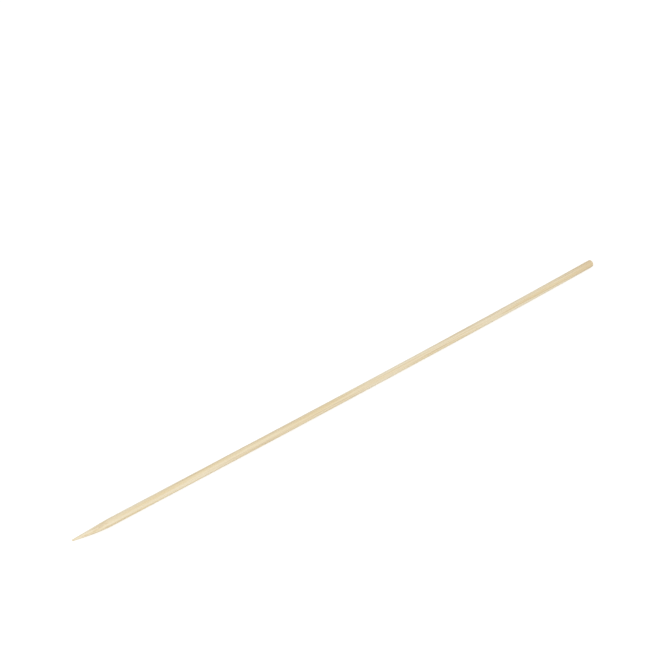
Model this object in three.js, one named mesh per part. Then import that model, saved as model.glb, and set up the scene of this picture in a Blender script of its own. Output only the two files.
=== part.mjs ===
// A bamboo skewer: a round stick with one ground point and one square-cut butt, all in one piece.
// Millimetres, +Z up. The origin is the centre of the cut butt face. The stick runs along +X to its
// point, and lies as on a table, with its slight natural bow to the side.
import * as THREE from "three";

// Sizes of the stick
const length = 250; // butt face to tip
const diameter = 3; // of the shaft at the butt
const pointLength = 14; // of the ground point
const pointFullness = 1.3; // 1 is a straight cone, 2 a full ogive
const tipRadius = 0.3; // the tip is worn a little blunt
const buttEdgeRadius = 0.35; // the tumbled edge round the butt face

// How far the real stick is from a true one
const slimming = 0.18; // how much thinner the shaft is from mid-length to the point
const bow = 0.82; // of the centre line at mid-length, towards +Y
const bowTowardsButt = 0.34; // 0 is an even bow; more curves the butt's half more
const tipShiftSide = -0.36; // of the tip off the shaft's axis, along Y
const tipShiftUp = 0.36; // the same, along Z

// How finely the surfaces are divided
const sides = 40; // round the shaft
const edgeSteps = 4; // along the butt's rounded edge
const shaftSteps = 24; // along the shaft
const pointSteps = 16; // along the point
const tipSteps = 4; // over the blunt tip

const buttRadius = diameter / 2;
const buttFaceRadius = buttRadius - buttEdgeRadius;
const slimRadius = buttRadius - slimming / 2;
const pointStart = length - pointLength;

// The blunt tip is part of a ball that meets the taper where their slopes are equal.
const taperAngle = Math.atan((pointFullness * (slimRadius - tipRadius)) / pointLength);
const tipCapLength = tipRadius * (1 - Math.sin(taperAngle));
const tipCapRadius = tipRadius * Math.cos(taperAngle);

// Radius of the shaft at a distance from the butt.
function shaftRadius(x) {
  return buttRadius - (slimming / 2) * THREE.MathUtils.smoothstep(x, buttEdgeRadius, length / 2);
}

// Radius of the ground point at a distance from the tip, from the tip's cap up to the shaft.
function pointRadius(fromTip) {
  const toShaft = (pointLength - fromTip) / (pointLength - tipCapLength);
  return slimRadius - (slimRadius - tipCapRadius) * toShaft ** pointFullness;
}

// Half of the stick's lengthwise section, from the middle of the butt face to the tip:
// x is the radius and y the distance from the butt.
function outline() {
  const points = [new THREE.Vector2(0, 0)];
  for (let i = 0; i <= edgeSteps; i++) {
    const turn = (i / edgeSteps) * (Math.PI / 2);
    points.push(
      new THREE.Vector2(
        buttFaceRadius + buttEdgeRadius * Math.sin(turn),
        buttEdgeRadius * (1 - Math.cos(turn)),
      ),
    );
  }
  for (let i = 1; i <= shaftSteps; i++) {
    const y = THREE.MathUtils.lerp(buttEdgeRadius, pointStart, i / shaftSteps);
    points.push(new THREE.Vector2(shaftRadius(y), y));
  }
  for (let i = 1; i <= pointSteps; i++) {
    const fromTip = THREE.MathUtils.lerp(pointLength, tipCapLength, i / pointSteps);
    points.push(new THREE.Vector2(pointRadius(fromTip), length - fromTip));
  }
  for (let i = 1; i < tipSteps; i++) {
    const turn = THREE.MathUtils.lerp(taperAngle, Math.PI / 2, i / tipSteps);
    points.push(
      new THREE.Vector2(tipRadius * Math.cos(turn), length - tipRadius * (1 - Math.sin(turn))),
    );
  }
  points.push(new THREE.Vector2(0, length));
  return points;
}

// How far the centre line lies off the X axis at a distance from the butt.
function centreLine(x) {
  const along = x / length;
  const arch = 4 * along * (1 - along);
  const intoPoint = Math.max(0, (x - pointStart) / pointLength);
  return {
    y: bow * arch * (1 + bowTowardsButt * (1 - 2 * along)) + tipShiftSide * intoPoint ** 2,
    z: tipShiftUp * intoPoint ** 2,
  };
}

function stickGeometry() {
  const geometry = new THREE.LatheGeometry(outline(), sides);
  geometry.rotateZ(-Math.PI / 2);
  const position = geometry.getAttribute("position");
  for (let i = 0; i < position.count; i++) {
    const offset = centreLine(position.getX(i));
    position.setY(i, position.getY(i) + offset.y);
    position.setZ(i, position.getZ(i) + offset.z);
  }
  geometry.computeVertexNormals();
  return geometry;
}

const paleBamboo = new THREE.MeshStandardMaterial({
  color: 0xe6d6b4,
  roughness: 0.6,
  metalness: 0,
});

const stick = new THREE.Mesh(stickGeometry(), paleBamboo);
stick.name = "skewer";

const skewer = new THREE.Group();
skewer.add(stick);

export default skewer;
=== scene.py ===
import logging
import math
from dataclasses import dataclass, field
from enum import Enum
from typing import Any

import bpy
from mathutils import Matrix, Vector


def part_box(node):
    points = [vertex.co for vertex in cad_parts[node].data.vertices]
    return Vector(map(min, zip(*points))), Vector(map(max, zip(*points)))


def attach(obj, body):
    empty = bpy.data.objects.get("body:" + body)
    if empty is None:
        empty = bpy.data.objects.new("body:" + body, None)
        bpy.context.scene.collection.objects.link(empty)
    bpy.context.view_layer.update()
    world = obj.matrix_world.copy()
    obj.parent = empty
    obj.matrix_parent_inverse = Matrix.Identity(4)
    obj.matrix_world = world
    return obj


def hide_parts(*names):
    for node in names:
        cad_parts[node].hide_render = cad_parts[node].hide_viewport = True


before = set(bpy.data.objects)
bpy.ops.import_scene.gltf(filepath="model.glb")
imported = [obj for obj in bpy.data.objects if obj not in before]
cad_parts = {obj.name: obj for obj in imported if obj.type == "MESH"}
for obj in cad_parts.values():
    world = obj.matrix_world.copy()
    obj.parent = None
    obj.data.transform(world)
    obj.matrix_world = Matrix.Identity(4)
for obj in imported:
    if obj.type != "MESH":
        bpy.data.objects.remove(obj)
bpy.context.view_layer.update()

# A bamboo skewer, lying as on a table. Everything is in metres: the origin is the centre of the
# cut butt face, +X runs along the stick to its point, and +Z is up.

log = logging.getLogger("skewer")

MM = 0.001
NODE = "skewer"
BODY = "root"
GRAIN = "grain"  # the mesh attribute that holds each point's unbent place
FADE = "fade"  # 1 where the relief is whole, less where the point thins
RIM = "rim"  # 1 on the butt's edge and 0 away from it
BAKE_MAP = "OFBake"
PIECE = "bamboo_stick"

MATH = "ShaderNodeMath"
VECTOR_MATH = "ShaderNodeVectorMath"
MAP_RANGE = "ShaderNodeMapRange"
NOISE = "ShaderNodeTexNoise"
SPLIT = "ShaderNodeSeparateXYZ"
JOIN = "ShaderNodeCombineXYZ"
SMOOTH = {"interpolation_type": "SMOOTHSTEP"}

Tree = bpy.types.NodeTree
Socket = bpy.types.NodeSocket
Colour = tuple[float, float, float, float]
Place = tuple[float, float, float]
Range = tuple[float, float]

WHITE: Colour = (1.0, 1.0, 1.0, 1.0)


def linear(hex_colour: str) -> Colour:
    """Turns an sRGB hex colour into Blender's linear one.

    Args:
        hex_colour: six hex digits, such as "E6D6B4".

    Returns:
        Linear red, green and blue, and an alpha of 1.
    """
    parts = [int(hex_colour[i : i + 2], 16) / 255 for i in (0, 2, 4)]
    red, green, blue = (c / 12.92 if c <= 0.04045 else ((c + 0.055) / 1.055) ** 2.4 for c in parts)
    return (red, green, blue, 1.0)


def add_node(tree: Tree, kind: str, inputs: Any = (), **settings: Any) -> bpy.types.Node:
    """Adds one node to a shader or geometry tree.

    Args:
        tree: the tree that gets the node.
        kind: the node's Blender type.
        inputs: what goes into its sockets, in order, or a dict of them by name or number. Each is
            an output socket to link, or a value.
        **settings: the node's own properties.

    Returns:
        The new node.
    """
    node = tree.nodes.new(kind)
    for name, value in settings.items():
        setattr(node, name, value)
    for key, value in (inputs if isinstance(inputs, dict) else dict(enumerate(inputs))).items():
        if isinstance(value, Socket):
            tree.links.new(value, node.inputs[key])
        else:
            node.inputs[key].default_value = value
    return node


class RindSide(Enum):
    """The side of the stick that lay towards the rind of the culm."""

    ABOVE = (0.0, 0.35, 0.94)
    BESIDE = (0.0, 0.94, 0.35)


@dataclass(frozen=True)
class BambooGrain:
    """How the culm's fibre bundles run through the stick, in its unbent coordinates.

    One rule makes both the grooves in the mesh and the streaks in the finish, so they agree.
    """

    radius: float
    rind: RindSide = RindSide.ABOVE
    spacing: float = 0.46 * MM
    scatter: float = 0.85  # of the bundles; 0 is a square grid
    cap_reach: float = 0.42  # of a bundle's dark fibre cap, in spacings
    cap_core: float = 0.22  # within which a cap is at its darkest
    pore_reach: float = 0.13  # of the vessels in its middle, in spacings
    pore_core: float = 0.4  # the share of that reach within which they are at their darkest
    rind_gain: float = 0.1  # how much further the caps reach on the rind side
    slope: Place = (0.0, 0.0085, -0.0052)  # a stick is never split quite along the grain
    wander: float = 0.5 * MM
    wander_length: float = 70 * MM
    wander_width: float = 2.2 * MM
    fray: float = 0.26 * MM  # gives the bundles their lobed sections
    fray_length: float = 30 * MM
    fray_width: float = 0.16 * MM
    seed: float = 4.0

    def sway(self, tree: Tree, place: Socket, length: float, width: float, reach: float) -> Socket:
        """Moves each place sideways, by an amount that changes slowly along the grain.

        Args:
            tree: a shader or geometry tree.
            place: the place that is moved.
            length: over about what length the amount changes.
            width: over about what width it changes.
            reach: from the furthest to one side to the furthest to the other.

        Returns:
            The moved place.
        """
        scale = (1 / length, 1 / width, 1 / width)
        stretched = add_node(tree, VECTOR_MATH, (place, scale), operation="MULTIPLY").outputs[0]
        wave = add_node(
            tree,
            NOISE,
            {"Vector": stretched, "W": self.seed, "Scale": 1.0, "Detail": 1.0},
            noise_dimensions="4D",
        ).outputs["Color"]
        centred = add_node(tree, VECTOR_MATH, (wave, (0.5, 0.5, 0.5)), operation="SUBTRACT").outputs[0]
        side = (0.0, reach, reach)
        return add_node(tree, VECTOR_MATH, (centred, side, place), operation="MULTIPLY_ADD").outputs[0]

    def distance(self, tree: Tree, place: Socket) -> Socket:
        """Finds how far each point is from the middle of the nearest fibre bundle.

        Args:
            tree: a shader or geometry tree.
            place: the unbent place on the stick.

        Returns:
            The distance, in bundle spacings.
        """
        wandered = self.sway(tree, place, self.wander_length, self.wander_width, self.wander)
        frayed = self.sway(tree, wandered, self.fray_length, self.fray_width, self.fray)
        along = add_node(tree, SPLIT, (place,)).outputs["X"]
        slope = {0: self.slope, "Scale": along}
        drift = add_node(tree, VECTOR_MATH, slope, operation="SCALE").outputs[0]
        moved = add_node(tree, VECTOR_MATH, (frayed, drift), operation="ADD").outputs[0]
        across = add_node(tree, SPLIT, (moved,)).outputs
        section = add_node(tree, JOIN, (across["Y"], across["Z"])).outputs[0]
        return add_node(
            tree,
            "ShaderNodeTexVoronoi",
            {"Vector": section, "Scale": 1 / self.spacing, "Randomness": self.scatter},
            voronoi_dimensions="2D",
        ).outputs["Distance"]

    def caps(self, tree: Tree, place: Socket, distance: Socket) -> Socket:
        """Finds the dark fibre caps, which reach further on the rind side of the stick.

        Args:
            tree: a shader or geometry tree.
            place: the unbent place on the stick.
            distance: from the nearest bundle's middle, in bundle spacings.

        Returns:
            1 well inside a cap and 0 in the pale tissue between bundles.
        """
        toward = tuple(part / self.radius for part in self.rind.value)
        rindness = add_node(
            tree, VECTOR_MATH, (place, toward), operation="DOT_PRODUCT"
        ).outputs["Value"]
        gained = (rindness, self.rind_gain, self.cap_reach)
        reach = add_node(tree, MATH, gained, operation="MULTIPLY_ADD").outputs[0]
        return add_node(tree, MAP_RANGE, (distance, reach, self.cap_core), **SMOOTH).outputs[0]

    def pores(self, tree: Tree, distance: Socket) -> Socket:
        """Finds the open vessels in the middle of each bundle.

        Args:
            tree: a shader or geometry tree.
            distance: from the nearest bundle's middle, in bundle spacings.

        Returns:
            1 inside a vessel and 0 outside it.
        """
        core = self.pore_core * self.pore_reach
        return add_node(tree, MAP_RANGE, (distance, self.pore_reach, core), **SMOOTH).outputs[0]


@dataclass(frozen=True)
class DrySandedBamboo:
    """Split bamboo, drawn round, tumbled and left bare.

    To the eye it is pale cream and matte, with long fine tan fibres that start and end where the
    stick crosses the grain, and a yellower tone in places. Its open pores are darkened with painted
    shade, which shows as dots on the cut end; the cut end is browner, partly its own tone and partly
    painted shade.
    """

    grain: BambooGrain
    point_start: float
    name: str = "dry sanded bamboo"
    ground: str = "EFE3C6"
    warm: str = "E8D6AC"
    pale: str = "F7EFDC"
    line: str = "CDB080"
    # painted shade: a dark brown laid in the open pores; the cut face's caps take it too
    cap: str = "CFAE78"
    # the cut face's browner tone: partly the end grain's own colour, partly painted shade
    pore_shade: str = "86673C"
    end: str = "D8C093"
    butt: str = "D9BE90"
    cap_share: float = 0.46  # how much of a colour shows where it is strongest
    least_cap: float = 0.25  # of that share, where the fibres are faintest
    line_share: float = 0.38
    # painted shade in the open pores along the shaft
    pale_share: float = 0.45
    pore_shade_share: float = 0.4
    # the cut face's darkening is partly its own tone and partly painted shade; its pores are painted
    # shade
    end_tone_and_shade_share: float = 0.5
    end_cap_tone_and_shade_share: float = 0.38
    end_pore_shade_share: float = 0.85
    end_depth: float = 0.28 * MM
    butt_share: float = 0.55
    butt_reach: float = 24 * MM  # how far the butt is a little browner, from the cut and from hands
    tone_length: float = 42 * MM
    tone_width: float = 0.9 * MM  # coarser than the fibres, so that it shows from a metre away
    fibre_length: float = 16 * MM
    fibre_width: float = 0.07 * MM
    streak_detail: float = 3.0
    streak_roughness: float = 0.55
    warm_range: Range = (0.34, 0.7)  # the values of a streak between which its colour comes in
    cap_range: Range = (0.3, 0.65)
    line_range: Range = (0.52, 0.7)
    pale_range: Range = (0.45, 0.28)
    worn_range: Range = (0.3, 0.7)
    sheen_range: Range = (0.55, 0.7)  # roughness, from worn fibre to torn fibre
    grind_width: float = 0.16 * MM  # of the marks that the wheel leaves round the point
    grind_length: float = 1.3 * MM
    grind_fade: float = 3 * MM  # over which they come in, from where the point starts
    fibre_relief: float = 0.03 * MM
    grind_relief: float = 0.014 * MM
    ior: float = 1.5
    metallic: float = 0.0

    def streaks(self, tree: Tree, place: Socket, length: float, width: float) -> Socket:
        """Makes long soft streaks along the grain.

        Args:
            tree: the material's tree.
            place: the unbent place on the stick.
            length: about how long a streak is.
            width: about how wide it is.

        Returns:
            A value that varies about 0.5.
        """
        scale = (1 / length, 1 / width, 1 / width)
        stretched = add_node(tree, VECTOR_MATH, (place, scale), operation="MULTIPLY").outputs[0]
        noise = {
            "Vector": stretched,
            "Scale": 1.0,
            "Detail": self.streak_detail,
            "Roughness": self.streak_roughness,
        }
        return add_node(tree, NOISE, noise).outputs["Fac"]

    def amounts(self, tree: Tree, place: Socket, fibre: Socket) -> list[tuple[str, Socket]]:
        """Works out how much of each colour shows at each point.

        Args:
            tree: the material's tree.
            place: the unbent place on the stick.
            fibre: the fine streaks.

        Returns:
            Each hex colour with its amount, in the order in which they are laid over the ground.
        """
        distance = self.grain.distance(tree, place)
        caps = self.grain.caps(tree, place, distance)
        pores = self.grain.pores(tree, distance)
        tone = self.streaks(tree, place, self.tone_length, self.tone_width)
        depth = add_node(tree, SPLIT, (place,)).outputs["X"]

        ranges = {
            "warm": (tone, *self.warm_range, 0.0, 1.0),
            "butt": (depth, self.butt_reach, 0.0, 0.0, self.butt_share),
            "end": (depth, self.end_depth, 0.0, 0.0, self.end_tone_and_shade_share),
            "cap": (fibre, *self.cap_range, self.least_cap * self.cap_share, self.cap_share),
            "line": (fibre, *self.line_range, 0.0, self.line_share),
            "pale": (fibre, *self.pale_range, 0.0, self.pale_share),
            "end cap": (depth, self.end_depth, 0.0, 0.0, self.end_cap_tone_and_shade_share),
            "pore_shade": (depth, self.end_depth, 0.0, self.pore_shade_share, self.end_pore_shade_share),
        }
        shows = {
            name: add_node(tree, MAP_RANGE, inputs, **SMOOTH).outputs[0]
            for name, inputs in ranges.items()
        }
        # on the cut face the caps darken more: partly the end grain's own tone, partly painted shade
        cap = add_node(tree, MATH, (shows["cap"], shows["end"]), operation="ADD").outputs[0]
        cap = add_node(tree, MATH, (caps, cap), operation="MULTIPLY").outputs[0]
        # on the cut face the caps also take the dark brown: partly their own tone, partly painted shade
        end_cap_tone_and_shade = add_node(tree, MATH, (caps, shows["end cap"]), operation="MULTIPLY").outputs[0]
        # painted shade: the open pores are darkened, most of all on the cut face
        pore_shade = add_node(tree, MATH, (pores, shows["pore_shade"]), operation="MULTIPLY").outputs[0]
        return [
            (self.warm, shows["warm"]),
            (self.butt, shows["butt"]),
            (self.end, shows["end"]),
            (self.cap, cap),
            (self.line, shows["line"]),
            (self.pale, shows["pale"]),
            (self.pore_shade, end_cap_tone_and_shade),
            (self.pore_shade, pore_shade),
        ]

    def bumps(self, tree: Tree, place: Socket, fibre: Socket) -> Socket:
        """Adds what is too fine for the mesh: the fibres, and the grinding marks on the point.

        Args:
            tree: the material's tree.
            place: the unbent place on the stick.
            fibre: the fine streaks.

        Returns:
            The bumped normal.
        """
        depth = add_node(tree, SPLIT, (place,)).outputs["X"]
        full = self.point_start + self.grind_fade
        ground_range = (depth, self.point_start, full, 0.0, 1.0)
        ground_down = add_node(tree, MAP_RANGE, ground_range, **SMOOTH).outputs[0]
        marks = self.streaks(tree, place, self.grind_width, self.grind_length)
        marks = add_node(tree, MATH, (marks, ground_down), operation="MULTIPLY").outputs[0]
        scored = add_node(tree, "ShaderNodeBump", {"Height": marks, "Distance": self.grind_relief})
        relief = {"Height": fibre, "Distance": self.fibre_relief, "Normal": scored.outputs["Normal"]}
        return add_node(tree, "ShaderNodeBump", relief).outputs["Normal"]

    def build(self) -> bpy.types.Material:
        """Makes the material, which reads the piece's own grain attribute.

        Returns:
            The node material.
        """
        material = bpy.data.materials.new(self.name)
        material.use_nodes = True
        tree = material.node_tree
        shader = tree.nodes["Principled BSDF"].inputs
        place = add_node(tree, "ShaderNodeAttribute", attribute_name=GRAIN).outputs["Vector"]
        fibre = self.streaks(tree, place, self.fibre_length, self.fibre_width)

        colour: Colour | Socket = linear(self.ground)
        for over, amount in self.amounts(tree, place, fibre):
            laid = {0: amount, 6: colour, 7: linear(over)}
            colour = add_node(tree, "ShaderNodeMix", laid, data_type="RGBA").outputs[2]
        tree.links.new(colour, shader["Base Color"])

        worn = (fibre, *self.worn_range, *self.sheen_range)
        roughness = add_node(tree, MAP_RANGE, worn, **SMOOTH).outputs[0]
        tree.links.new(roughness, shader["Roughness"])
        tree.links.new(self.bumps(tree, place, fibre), shader["Normal"])
        shader["IOR"].default_value = self.ior
        shader["Metallic"].default_value = self.metallic
        return material


@dataclass
class Stick:
    """The whole skewer: one piece of bamboo from its cut butt to its ground point."""

    length: float
    butt_radius: float
    grain: BambooGrain
    slimming: float = 0.18 * MM  # how much thinner the shaft is from mid-length to the point
    point_length: float = 14 * MM
    point_fullness: float = 1.3  # 1 is a straight cone, 2 a full ogive
    tip_radius: float = 0.3 * MM
    butt_edge_radius: float = 0.35 * MM
    bow: float = 0.82 * MM
    bow_towards_butt: float = 0.34  # 0 is an even bow; more curves the butt's half more
    tip_shift_side: float = -0.36 * MM
    tip_shift_up: float = 0.36 * MM
    cap_groove: float = 0.018 * MM
    pore_groove: float = 0.03 * MM
    unevenness: float = 0.02 * MM
    unevenness_length: float = 24 * MM
    unevenness_width: float = 1.7 * MM
    edge_wear: float = 0.07 * MM
    chip_size: float = 0.9 * MM
    rim_depth: float = 2 * MM  # how far behind the butt face the edge's wear fades out
    rim_sharpness: float = 6.0  # how fast it fades towards the middle of the face
    tip_relief: float = 0.2  # the share of the relief that is left at the tip
    seam: float = 0.0001 * MM  # within which the grid's two edges are joined
    map_margin: float = 0.004  # the shares of the bake's map: an empty strip, then each zone
    face_room: float = 0.08
    shaft_room: float = 0.632
    point_room: float = 0.28
    sides: int = 112
    face_rings: int = 16
    edge_rings: int = 8
    shaft_rings: int = 600
    point_rings: int = 160
    tip_rings: int = 6
    sockets: dict[str, str] = field(default_factory=dict)

    def sizes(self) -> dict[str, float | int]:
        """The named inputs of the geometry tree, with this stick's values."""
        return {
            "Length": self.length,
            "Butt Radius": self.butt_radius,
            "Slimming": self.slimming,
            "Point Length": self.point_length,
            "Point Fullness": self.point_fullness,
            "Tip Radius": self.tip_radius,
            "Butt Edge Radius": self.butt_edge_radius,
            "Bow": self.bow,
            "Bow Towards Butt": self.bow_towards_butt,
            "Tip Shift Side": self.tip_shift_side,
            "Tip Shift Up": self.tip_shift_up,
            "Cap Groove": self.cap_groove,
            "Pore Groove": self.pore_groove,
            "Unevenness": self.unevenness,
            "Edge Wear": self.edge_wear,
            "Sides": self.sides,
            "Face Rings": self.face_rings,
            "Edge Rings": self.edge_rings,
            "Shaft Rings": self.shaft_rings,
            "Point Rings": self.point_rings,
            "Tip Rings": self.tip_rings,
        }

    def outline(self, tree: Tree, given: Any, ring: Socket, starts: list[Any]) -> tuple[Socket, Socket]:
        """Works out the half outline that is swept round the stick.

        Args:
            tree: the geometry tree.
            given: the tree's own inputs.
            ring: how many rings each point is from the middle of the butt face.
            starts: the ring at which each zone starts, and the last ring.

        Returns:
            Each point's distance from the butt face, and its radius.
        """
        flat_face, edge_start, shaft_start, point_start, tip_start, last = starts
        length, butt, slimming = given["Length"], given["Butt Radius"], given["Slimming"]
        point, tip, edge = given["Point Length"], given["Tip Radius"], given["Butt Edge Radius"]
        fullness = given["Point Fullness"]

        # The blunt tip is part of a ball that meets the taper where their slopes are equal.
        slim = add_node(tree, MATH, (slimming, -0.5, butt), operation="MULTIPLY_ADD").outputs[0]
        drop = add_node(tree, MATH, (slim, tip), operation="SUBTRACT").outputs[0]
        full_drop = add_node(tree, MATH, (drop, fullness), operation="MULTIPLY").outputs[0]
        steepness = add_node(tree, MATH, (full_drop, point), operation="DIVIDE").outputs[0]
        taper = add_node(tree, MATH, (steepness,), operation="ARCTANGENT").outputs[0]
        taper_sine = add_node(tree, MATH, (taper,), operation="SINE").outputs[0]
        taper_cosine = add_node(tree, MATH, (taper,), operation="COSINE").outputs[0]
        ball_start = add_node(tree, MATH, (tip, taper_sine), operation="MULTIPLY").outputs[0]
        ball_radius = add_node(tree, MATH, (tip, taper_cosine), operation="MULTIPLY").outputs[0]
        ball_length = add_node(tree, MATH, (tip, ball_start), operation="SUBTRACT").outputs[0]

        # Each zone adds its own share of the way along and of the way out. Its map range runs from
        # the zone's first ring to its last, and holds its value past them.
        face_radius = add_node(tree, MATH, (butt, edge), operation="SUBTRACT").outputs[0]
        face_out = add_node(tree, MAP_RANGE, (ring, flat_face, edge_start, 0.0, face_radius)).outputs[0]
        edge_range = (ring, edge_start, shaft_start, 0.0, math.pi / 2)
        edge_turn = add_node(tree, MAP_RANGE, edge_range).outputs[0]
        shaft_end = add_node(tree, MATH, (length, point), operation="SUBTRACT").outputs[0]
        shaft_length = add_node(tree, MATH, (shaft_end, edge), operation="SUBTRACT").outputs[0]
        shaft_range = (ring, shaft_start, point_start, 0.0, shaft_length)
        shaft_along = add_node(tree, MAP_RANGE, shaft_range).outputs[0]
        taper_length = add_node(tree, MATH, (point, ball_length), operation="SUBTRACT").outputs[0]
        taper_range = (ring, point_start, tip_start, 0.0, taper_length)
        taper_along = add_node(tree, MAP_RANGE, taper_range).outputs[0]
        taper_share = add_node(tree, MAP_RANGE, (ring, point_start, tip_start, 0.0, 1.0)).outputs[0]
        tip_turn = add_node(tree, MAP_RANGE, (ring, tip_start, last, taper, math.pi / 2)).outputs[0]

        edge_cosine = add_node(tree, MATH, (edge_turn,), operation="COSINE").outputs[0]
        edge_back = add_node(tree, MATH, (edge_cosine, edge), operation="MULTIPLY").outputs[0]
        edge_along = add_node(tree, MATH, (edge, edge_back), operation="SUBTRACT").outputs[0]
        tip_sine = add_node(tree, MATH, (tip_turn,), operation="SINE").outputs[0]
        tip_reach = add_node(tree, MATH, (tip_sine, tip), operation="MULTIPLY").outputs[0]
        tip_along = add_node(tree, MATH, (tip_reach, ball_start), operation="SUBTRACT").outputs[0]
        along = add_node(tree, MATH, (edge_along, shaft_along), operation="ADD").outputs[0]
        along = add_node(tree, MATH, (along, taper_along), operation="ADD").outputs[0]
        along = add_node(tree, MATH, (along, tip_along), operation="ADD").outputs[0]

        edge_sine = add_node(tree, MATH, (edge_turn,), operation="SINE").outputs[0]
        out = add_node(tree, MATH, (edge_sine, edge, face_out), operation="MULTIPLY_ADD").outputs[0]
        middle = add_node(tree, MATH, (length, 0.5), operation="MULTIPLY").outputs[0]
        slim_share = add_node(tree, MAP_RANGE, (along, edge, middle), **SMOOTH).outputs[0]
        slim_half = add_node(tree, MATH, (slimming, -0.5), operation="MULTIPLY").outputs[0]
        out = add_node(tree, MATH, (slim_share, slim_half, out), operation="MULTIPLY_ADD").outputs[0]
        curve = add_node(tree, MATH, (taper_share, fullness), operation="POWER").outputs[0]
        taper_drop = add_node(tree, MATH, (slim, ball_radius), operation="SUBTRACT").outputs[0]
        taper_in = add_node(tree, MATH, (curve, taper_drop), operation="MULTIPLY").outputs[0]
        out = add_node(tree, MATH, (out, taper_in), operation="SUBTRACT").outputs[0]
        out = add_node(tree, MATH, (out, ball_radius), operation="SUBTRACT").outputs[0]
        tip_cosine = add_node(tree, MATH, (tip_turn,), operation="COSINE").outputs[0]
        out = add_node(tree, MATH, (tip_cosine, tip, out), operation="MULTIPLY_ADD").outputs[0]
        return along, out

    def centre_line(self, tree: Tree, given: Any, along: Socket) -> tuple[Socket, Socket]:
        """Works out how far the real stick's centre line lies off the X axis.

        Args:
            tree: the geometry tree.
            given: the tree's own inputs.
            along: each point's distance from the butt face.

        Returns:
            The bow as a vector, which the grain follows, and the shift of the ground point.
        """
        share = add_node(tree, MATH, (along, given["Length"]), operation="DIVIDE").outputs[0]
        rest = add_node(tree, MATH, (1.0, share), operation="SUBTRACT").outputs[0]
        arch = add_node(tree, MATH, (share, rest), operation="MULTIPLY").outputs[0]
        arch = add_node(tree, MATH, (arch, 4.0), operation="MULTIPLY").outputs[0]
        lean = add_node(tree, MAP_RANGE, (share, 0.0, 1.0, 1.0, -1.0)).outputs[0]
        leant = (lean, given["Bow Towards Butt"], 1.0)
        lean = add_node(tree, MATH, leant, operation="MULTIPLY_ADD").outputs[0]
        arch = add_node(tree, MATH, (arch, lean), operation="MULTIPLY").outputs[0]
        bow = add_node(tree, MATH, (arch, given["Bow"]), operation="MULTIPLY").outputs[0]
        bow = add_node(tree, JOIN, {"Y": bow}).outputs[0]
        length, point = given["Length"], given["Point Length"]
        start = add_node(tree, MATH, (length, point), operation="SUBTRACT").outputs[0]
        into = add_node(tree, MAP_RANGE, (along, start, length, 0.0, 1.0)).outputs[0]
        into = add_node(tree, MATH, (into, 2.0), operation="POWER").outputs[0]
        tip = {"Y": given["Tip Shift Side"], "Z": given["Tip Shift Up"]}
        shift = add_node(tree, JOIN, tip).outputs[0]
        shift = add_node(tree, VECTOR_MATH, {0: shift, "Scale": into}, operation="SCALE").outputs[0]
        return bow, shift

    def relief(self, tree: Tree, given: Any, place: Socket, fade: Socket, rim: Socket) -> Socket:
        """Works out how deep the fibre grooves, the cutter's unevenness and the edge's wear go.

        Args:
            tree: the geometry tree.
            given: the tree's own inputs.
            place: the unbent place on the stick.
            fade: 1 where the relief is whole, less where the point thins.
            rim: 1 on the butt's edge and 0 away from it.

        Returns:
            The depth.
        """
        distance = self.grain.distance(tree, place)
        caps = self.grain.caps(tree, place, distance)
        pores = self.grain.pores(tree, distance)
        width = self.unevenness_width
        scale = (1 / self.unevenness_length, 1 / width, 1 / width)
        stretched = add_node(tree, VECTOR_MATH, (place, scale), operation="MULTIPLY").outputs[0]
        swell = add_node(
            tree,
            NOISE,
            {"Vector": stretched, "W": self.grain.seed, "Scale": 1.0, "Detail": 1.0},
            noise_dimensions="4D",
        ).outputs["Fac"]
        depth = add_node(tree, MATH, (swell, given["Unevenness"]), operation="MULTIPLY").outputs[0]
        for groove in ((caps, given["Cap Groove"]), (pores, given["Pore Groove"])):
            depth = add_node(tree, MATH, (*groove, depth), operation="MULTIPLY_ADD").outputs[0]
        depth = add_node(tree, MATH, (depth, fade), operation="MULTIPLY").outputs[0]
        chips = add_node(
            tree,
            NOISE,
            {"Vector": place, "W": self.grain.seed, "Scale": 1 / self.chip_size, "Detail": 2.0},
            noise_dimensions="4D",
        ).outputs["Fac"]
        worn = add_node(tree, MATH, (chips, rim), operation="MULTIPLY").outputs[0]
        wear = (worn, given["Edge Wear"], depth)
        return add_node(tree, MATH, wear, operation="MULTIPLY_ADD").outputs[0]

    def declare(self, tree: Tree) -> Any:
        """Gives the tree its named inputs and its output, and keeps each input's identifier.

        Args:
            tree: the geometry tree.

        Returns:
            The inputs, by name.
        """
        kinds = {
            name: "NodeSocketInt" if isinstance(value, int) else "NodeSocketFloat"
            for name, value in self.sizes().items()
        }
        kinds["Material"] = "NodeSocketMaterial"
        for name, kind in kinds.items():
            socket = tree.interface.new_socket(name, in_out="INPUT", socket_type=kind)
            self.sockets[name] = socket.identifier
        tree.interface.new_socket("Geometry", in_out="OUTPUT", socket_type="NodeSocketGeometry")
        return add_node(tree, "NodeGroupInput").outputs

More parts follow.
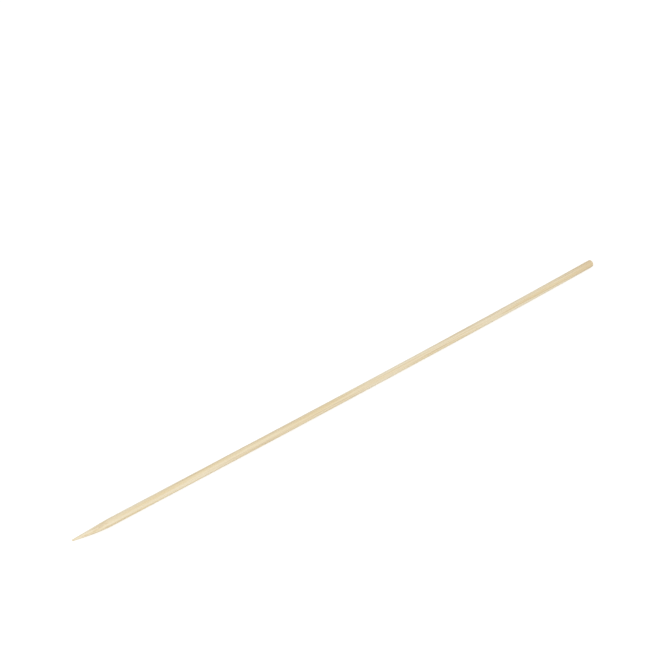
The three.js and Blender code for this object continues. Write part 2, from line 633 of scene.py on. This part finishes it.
    def flat_map(self, tree: Tree, even: Socket, starts: list[Any]) -> Socket:
        """Gives the cut face and the point more room in the bake than their length asks for.

        Args:
            tree: the geometry tree.
            even: the grid's own map, in which every ring has the same room.
            starts: the ring at which each zone starts, and the last ring.

        Returns:
            Each corner's place on the bake's map.
        """
        corner = add_node(tree, SPLIT, (even,)).outputs
        strip = add_node(tree, MAP_RANGE, (corner["X"], 0.0, 1.0, 0.0, starts[-1])).outputs[0]
        face_end = self.map_margin + self.face_room
        shaft_start, point_start, last = starts[2], starts[3], starts[-1]
        face_range = (strip, 0.0, shaft_start, self.map_margin, face_end)
        shaft_range = (strip, shaft_start, point_start, 0.0, self.shaft_room)
        point_range = (strip, point_start, last, 0.0, self.point_room)
        room = add_node(tree, MAP_RANGE, face_range).outputs[0]
        for zone in (shaft_range, point_range):
            more = add_node(tree, MAP_RANGE, zone).outputs[0]
            room = add_node(tree, MATH, (room, more), operation="ADD").outputs[0]
        return add_node(tree, JOIN, (room, corner["Y"])).outputs[0]

    def roll(self, tree: Tree, given: Any) -> Socket:
        """Rolls a flat grid into the closed stick, and stores on it what the relief reads.

        Args:
            tree: the geometry tree.
            given: the tree's own inputs.

        Returns:
            The smooth closed mesh.
        """
        # One way the grid runs along the outline, from the middle of the butt face to the tip, and
        # the other way round the stick.
        starts: list[Any] = [0.0]
        for zone in ("Face Rings", "Edge Rings", "Shaft Rings", "Point Rings", "Tip Rings"):
            starts.append(add_node(tree, MATH, (starts[-1], given[zone]), operation="ADD").outputs[0])
        rows = add_node(tree, MATH, (starts[-1], 1.0), operation="ADD").outputs[0]
        columns = add_node(tree, MATH, (given["Sides"], 1.0), operation="ADD").outputs[0]
        grid = add_node(tree, "GeometryNodeMeshGrid", (1.0, 1.0, rows, columns)).outputs
        spot = add_node(tree, "GeometryNodeInputPosition").outputs[0]
        spot = add_node(tree, SPLIT, (spot,)).outputs
        ring = add_node(tree, MAP_RANGE, (spot["X"], -0.5, 0.5, 0.0, starts[-1])).outputs[0]
        turn = add_node(tree, MAP_RANGE, (spot["Y"], -0.5, 0.5, 0.0, 2 * math.pi)).outputs[0]

        along, out = self.outline(tree, given, ring, starts)
        cosine = add_node(tree, MATH, (turn,), operation="COSINE").outputs[0]
        sine = add_node(tree, MATH, (turn,), operation="SINE").outputs[0]
        side = add_node(tree, MATH, (out, cosine), operation="MULTIPLY").outputs[0]
        up = add_node(tree, MATH, (out, sine), operation="MULTIPLY").outputs[0]
        straight = add_node(tree, JOIN, (along, side, up)).outputs[0]
        bow, shift = self.centre_line(tree, given, along)
        grown = add_node(tree, VECTOR_MATH, (straight, shift), operation="ADD").outputs[0]
        bent = add_node(tree, VECTOR_MATH, (grown, bow), operation="ADD").outputs[0]

        faded = add_node(tree, MAP_RANGE, (ring, starts[3], starts[4], 1.0, self.tip_relief)).outputs[0]
        near = add_node(tree, MAP_RANGE, (out, 0.0, given["Butt Radius"], 0.0, 1.0)).outputs[0]
        near = add_node(tree, MATH, (near, self.rim_sharpness), operation="POWER").outputs[0]
        behind = add_node(tree, MAP_RANGE, (along, 0.0, self.rim_depth, 1.0, 0.0)).outputs[0]
        rim = add_node(tree, MATH, (near, behind), operation="MULTIPLY").outputs[0]
        stored = (
            (BAKE_MAP, "FLOAT2", "CORNER", self.flat_map(tree, grid["UV Map"], starts)),
            (FADE, "FLOAT", "POINT", faded),
            (RIM, "FLOAT", "POINT", rim),
            (GRAIN, "FLOAT_VECTOR", "POINT", grown),
        )
        mesh = grid["Mesh"]
        for name, kind, domain, value in stored:
            mesh = add_node(
                tree,
                "GeometryNodeStoreNamedAttribute",
                {"Geometry": mesh, "Name": name, "Value": value},
                data_type=kind,
                domain=domain,
            ).outputs[0]
        rolled = {"Geometry": mesh, "Position": bent}
        mesh = add_node(tree, "GeometryNodeSetPosition", rolled).outputs[0]
        joined = {"Geometry": mesh, "Distance": self.seam}
        mesh = add_node(tree, "GeometryNodeMergeByDistance", joined).outputs[0]
        return add_node(tree, "GeometryNodeFlipFaces", (mesh,)).outputs[0]

    def carve(self, tree: Tree, given: Any, mesh: Socket) -> Socket:
        """Pushes the surface in by the depth of its relief.

        Args:
            tree: the geometry tree.
            given: the tree's own inputs.
            mesh: the smooth closed mesh.

        Returns:
            The carved mesh, which keeps its unbent place for the finish.
        """
        read = {}
        for name, kind in ((GRAIN, "FLOAT_VECTOR"), (FADE, "FLOAT"), (RIM, "FLOAT")):
            node = add_node(tree, "GeometryNodeInputNamedAttribute", {"Name": name}, data_type=kind)
            read[name] = node.outputs[0]
        depth = self.relief(tree, given, read[GRAIN], read[FADE], read[RIM])
        inward = add_node(tree, MATH, (depth, -1.0), operation="MULTIPLY").outputs[0]
        outward = add_node(tree, "GeometryNodeInputNormal").outputs[0]
        push = {0: outward, "Scale": inward}
        offset = add_node(tree, VECTOR_MATH, push, operation="SCALE").outputs[0]
        moved = {"Geometry": mesh, "Offset": offset}
        mesh = add_node(tree, "GeometryNodeSetPosition", moved).outputs[0]
        for name in (FADE, RIM):
            spent = {"Geometry": mesh, "Name": name}
            mesh = add_node(tree, "GeometryNodeRemoveAttribute", spent).outputs[0]
        return mesh

    def tree(self) -> Tree:
        """Builds the geometry tree that rolls a flat grid into the stick.

        Returns:
            The tree, whose inputs are the stick's sizes, its ring counts and its material.
        """
        tree = bpy.data.node_groups.new("skewer shape", "GeometryNodeTree")
        given = self.declare(tree)
        mesh = self.carve(tree, given, self.roll(tree, given))
        mesh = add_node(tree, "GeometryNodeSetShadeSmooth", {"Geometry": mesh}).outputs[0]
        mesh = add_node(tree, "GeometryNodeRealizeInstances", {"Geometry": mesh}).outputs[0]
        dressed = {"Geometry": mesh, "Material": given["Material"]}
        mesh = add_node(tree, "GeometryNodeSetMaterial", dressed).outputs[0]
        add_node(tree, "NodeGroupOutput", (mesh,))
        return tree

    def build(self, material: bpy.types.Material) -> bpy.types.Object:
        """Makes the stick as one plain mesh at the origin.

        Args:
            material: its finish.

        Returns:
            The finished object, with no modifier left on it.
        """
        piece = bpy.data.objects.new(PIECE, bpy.data.meshes.new(PIECE))
        bpy.context.scene.collection.objects.link(piece)
        modifier = piece.modifiers.new("shape", "NODES")
        modifier.node_group = self.tree()
        for name, value in self.sizes().items():
            modifier[self.sockets[name]] = value
        modifier[self.sockets["Material"]] = material
        graph = bpy.context.evaluated_depsgraph_get()
        mesh = bpy.data.meshes.new_from_object(
            piece.evaluated_get(graph), preserve_all_data_layers=True, depsgraph=graph
        )
        piece.modifiers.remove(modifier)
        piece.data = mesh
        mesh.name = PIECE
        mesh.materials.clear()
        mesh.materials.append(material)
        log.info("stick: %d points, %d faces", len(mesh.vertices), len(mesh.polygons))
        return piece


@dataclass(frozen=True)
class Studio:
    """The pale floor, the soft lights and the camera round the stick."""

    floor_height: float
    image_pixels: int = 650
    focal_pixels: float = 1722.0
    sensor: float = 36.0
    clip: Range = (10 * MM, 20.0)
    camera_place: Place = (0.4611, 0.365483, 0.378563)
    aim: Place = (0.108609, -0.037848, 0.0)
    floor_size: float = 40.0
    floor_bounce: float = 0.9
    floor_shade: float = 0.45  # how much of the stick's shadow shows on the white floor
    world_strength: float = 0.7
    lamp_power: float = 8.2
    lamp_size: float = 1.1
    lamp_place: Place = (0.87, 0.78, 1.0)

    def show(self, tree: Tree) -> Socket:
        """Tells the rays that show the white background from those that light the stick.

        Args:
            tree: the tree of the floor's material or the world.

        Returns:
            1 for camera, glossy and transmission rays, and 0 for others.
        """
        path = add_node(tree, "ShaderNodeLightPath").outputs
        seen = path["Is Camera Ray"]
        for other in ("Is Glossy Ray", "Is Transmission Ray"):
            seen = add_node(tree, MATH, (seen, path[other]), operation="MAXIMUM").outputs[0]
        return seen

    def floor(self) -> bpy.types.Object:
        """Makes the floor, which reads white and keeps a soft shadow.

        Returns:
            The floor object.
        """
        half = self.floor_size / 2
        square = ((-half, -half), (half, -half), (half, half), (-half, half))
        corners = [(x, y, self.floor_height) for x, y in square]
        mesh = bpy.data.meshes.new("floor")
        mesh.from_pydata(corners, [], [(0, 1, 2, 3)])
        floor = bpy.data.objects.new("floor", mesh)
        bpy.context.scene.collection.objects.link(floor)

        material = bpy.data.materials.new("white floor")
        material.use_nodes = True
        tree = material.node_tree
        tree.nodes.remove(tree.nodes["Principled BSDF"])
        bounce = (self.floor_bounce,) * 3 + (1.0,)
        shade = (self.floor_shade,) * 3 + (1.0,)
        lit = add_node(tree, "ShaderNodeBsdfDiffuse", {"Color": bounce})
        shaded = add_node(tree, "ShaderNodeBsdfDiffuse", {"Color": shade})
        lift = 1.0 - self.floor_shade * self.world_strength
        white = add_node(tree, "ShaderNodeEmission", {"Strength": lift})
        shown = add_node(tree, "ShaderNodeAddShader", (shaded.outputs[0], white.outputs[0]))
        choice = (self.show(tree), lit.outputs[0], shown.outputs[0])
        mixed = add_node(tree, "ShaderNodeMixShader", choice)
        tree.links.new(mixed.outputs[0], tree.nodes["Material Output"].inputs["Surface"])
        mesh.materials.append(material)
        return floor

    def light(self) -> None:
        """Adds a broad soft lamp overhead and a pale world round it."""
        lamp = bpy.data.lights.new("overhead softbox", "AREA")
        lamp.shape = "SQUARE"
        lamp.size = self.lamp_size
        lamp.energy = self.lamp_power
        holder = bpy.data.objects.new("overhead softbox", lamp)
        holder.location = self.lamp_place
        toward = Vector(self.aim) - Vector(self.lamp_place)
        holder.rotation_euler = toward.to_track_quat("-Z", "Y").to_euler()
        bpy.context.scene.collection.objects.link(holder)

        world = bpy.data.worlds.new("pale room")
        world.use_nodes = True
        bpy.context.scene.world = world
        tree = world.node_tree
        ambient = tree.nodes["Background"]
        ambient.inputs["Color"].default_value = WHITE
        ambient.inputs["Strength"].default_value = self.world_strength
        white = add_node(tree, "ShaderNodeBackground", {"Color": WHITE, "Strength": 1.0})
        choice = (self.show(tree), ambient.outputs[0], white.outputs[0])
        mixed = add_node(tree, "ShaderNodeMixShader", choice)
        tree.links.new(mixed.outputs[0], tree.nodes["World Output"].inputs["Surface"])

    def camera(self) -> None:
        """Adds the camera at the photograph's viewing angle."""
        lens = bpy.data.cameras.new("camera")
        lens.sensor_width = self.sensor
        lens.lens = self.focal_pixels / self.image_pixels * self.sensor
        lens.clip_start, lens.clip_end = self.clip
        holder = bpy.data.objects.new("camera", lens)
        holder.location = self.camera_place
        toward = Vector(self.aim) - Vector(self.camera_place)
        holder.rotation_euler = toward.to_track_quat("-Z", "Y").to_euler()
        bpy.context.scene.collection.objects.link(holder)
        bpy.context.scene.camera = holder


def main() -> None:
    """Builds the stick and its studio, and reports each piece."""
    logging.basicConfig(level=logging.INFO, format="%(name)s: %(message)s")
    low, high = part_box(NODE)
    radius = (high.z - low.z) / 2
    grain = BambooGrain(radius=radius)
    studio = Studio(floor_height=low.z)
    studio.camera()

    stick = Stick(length=high.x - low.x, butt_radius=radius, grain=grain)
    finish = DrySandedBamboo(grain=grain, point_start=stick.length - stick.point_length)
    piece = stick.build(finish.build())
    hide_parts(NODE)
    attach(piece, BODY)
    log.info("stick rides on %s", BODY)

    floor = studio.floor()
    studio.light()
    log.info("studio: floor at %.4f m", studio.floor_height)

    scene = bpy.context.scene
    scene.view_settings.view_transform = "Standard"


if __name__ == "__main__":
    main()
